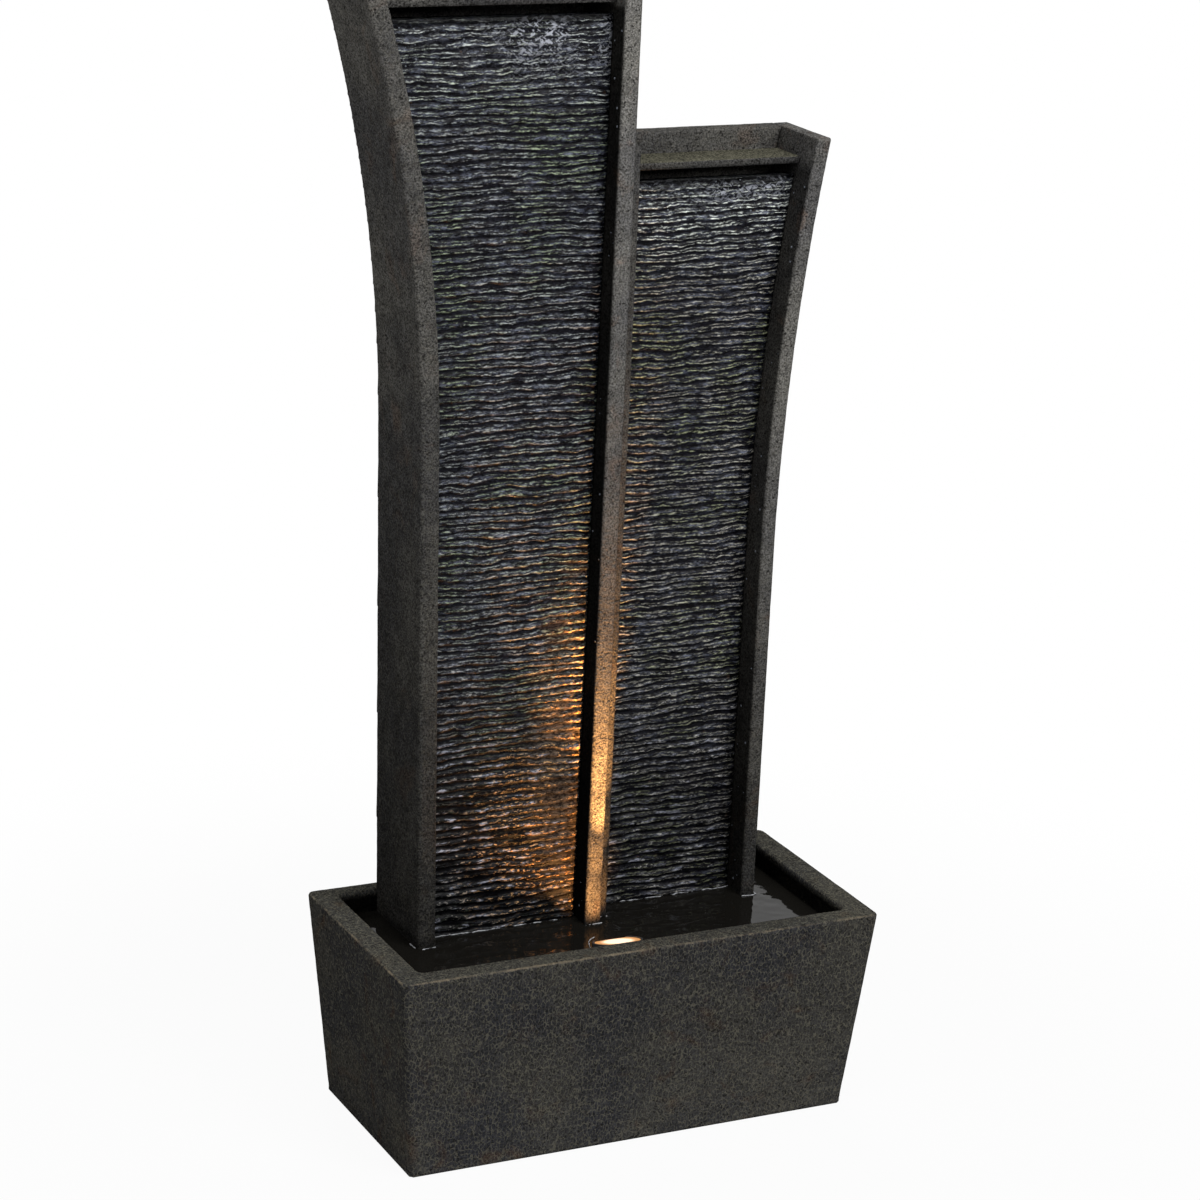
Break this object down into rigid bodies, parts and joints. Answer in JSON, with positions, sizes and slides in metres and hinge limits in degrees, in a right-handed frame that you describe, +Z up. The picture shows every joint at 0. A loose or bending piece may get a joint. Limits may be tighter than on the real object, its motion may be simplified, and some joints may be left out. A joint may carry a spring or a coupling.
{
  "type": "tower fountain",
  "caption": "Free-standing garden fountain: a tapered trough basin with a tall and a short flared tower, ridged cascade panels, pump, hoses and a lamp at the water line.",
  "frame": {"origin": "middle of the basin's flat underside, on the ground", "axes": "+Z up, the cascades face -Y, the tall tower stands on the -X side"},
  "size_m": [0.4667, 0.2194, 0.995],
  "materials": {
    "cast_stone": "stippled cast stone",
    "wet_stone": "wet ridged stone",
    "black_rubber": "matt",
    "pump_plastic": "moulded",
    "dial_plastic": "moulded",
    "shaft_ceramic": "ground",
    "rotor_magnet": "sintered",
    "clear_hose": "clear vinyl",
    "pipe_plastic": "moulded",
    "stainless": "brushed",
    "lamp_glass": "warm lit lens",
    "lamp_board": "white board",
    "hatch_plastic": "moulded"
  },
  "bodies": {
    "fountain": {"basin": "cast_stone", "tall_left_wall": "cast_stone", "divider_wall": "cast_stone", "tall_back_panel": "cast_stone", "tall_spill_hood": "cast_stone", "tall_header_floor": "cast_stone", "short_left_wall": "cast_stone", "short_right_wall": "cast_stone", "short_back_panel": "cast_stone", "short_spill_hood": "cast_stone", "short_header_floor": "cast_stone", "tall_cascade_panel": "wet_stone", "short_cascade_panel": "wet_stone", "cord_grommet": "black_rubber", "pump_suction_feet": "black_rubber", "pump_cable_gland": "black_rubber", "riser_grommets": "black_rubber", "pump_housing": "pump_plastic", "pump_chamber_cover": "pump_plastic", "pump_shaft": "shaft_ceramic", "hatch_magnet": "rotor_magnet", "supply_hose": "clear_hose", "tall_riser_hose": "clear_hose", "short_riser_hose": "clear_hose", "branch_tee": "pipe_plastic", "valve_body": "pipe_plastic", "tall_spray_pipe": "pipe_plastic", "short_spray_pipe": "pipe_plastic", "spray_pipe_caps": "pipe_plastic", "hose_clips": "stainless", "lamp_strap": "stainless", "lamp_strap_screws": "stainless", "lamp_pivot_screws": "stainless", "hatch_hinge_pin": "stainless", "hatch_frame": "hatch_plastic"},
    "hatch": {"hatch_door": "hatch_plastic", "hatch_pull": "hatch_plastic", "hatch_striker": "stainless"},
    "pump_rotor": {"pump_rotor": "rotor_magnet"},
    "strainer_cover": {"pump_strainer_cover": "pump_plastic"},
    "flow_dial": {"pump_flow_dial": "dial_plastic"},
    "valve_plug": {"valve_plug": "dial_plastic"},
    "lamp_head": {"lamp_housing": "pump_plastic", "lamp_board": "lamp_board", "lamp_gasket": "black_rubber", "lamp_lens": "lamp_glass", "lamp_bezel": "pump_plastic"},
    "drain_stopper": {"drain_stopper": "black_rubber"}
  },
  "joints": [
    {"name": "hatch_hinge", "type": "hinge", "parent": "fountain", "child": "hatch", "pos_m": [-0.1207, 0.0985, 0.274], "axis": [0, 0, 1], "range_deg": [0, 110]},
    {"name": "pump_rotor_spin", "type": "hinge", "parent": "fountain", "child": "pump_rotor", "pos_m": [-0.1, 0.06, 0.047], "axis": [1, 0, 0], "continuous": true},
    {"name": "strainer_cover_pull", "type": "slide", "parent": "fountain", "child": "strainer_cover", "axis": [-1, 0, 0], "range_m": [0, 0.014]},
    {"name": "flow_dial_turn", "type": "hinge", "parent": "strainer_cover", "child": "flow_dial", "pos_m": [-0.127, 0.06, 0.047], "axis": [-1, 0, 0], "range_deg": [0, 45]},
    {"name": "valve_turn", "type": "hinge", "parent": "fountain", "child": "valve_plug", "pos_m": [-0.06, 0.06, 0.274], "axis": [0, 1, 0], "range_deg": [0, 90]},
    {"name": "lamp_tilt", "type": "hinge", "parent": "fountain", "child": "lamp_head", "pos_m": [0, -0.0545, 0.1525], "axis": [1, 0, 0], "range_deg": [-25, 25]},
    {"name": "drain_stopper_pull", "type": "slide", "parent": "fountain", "child": "drain_stopper", "axis": [0, 0, 1], "range_m": [0, 0.04]}
  ]
}
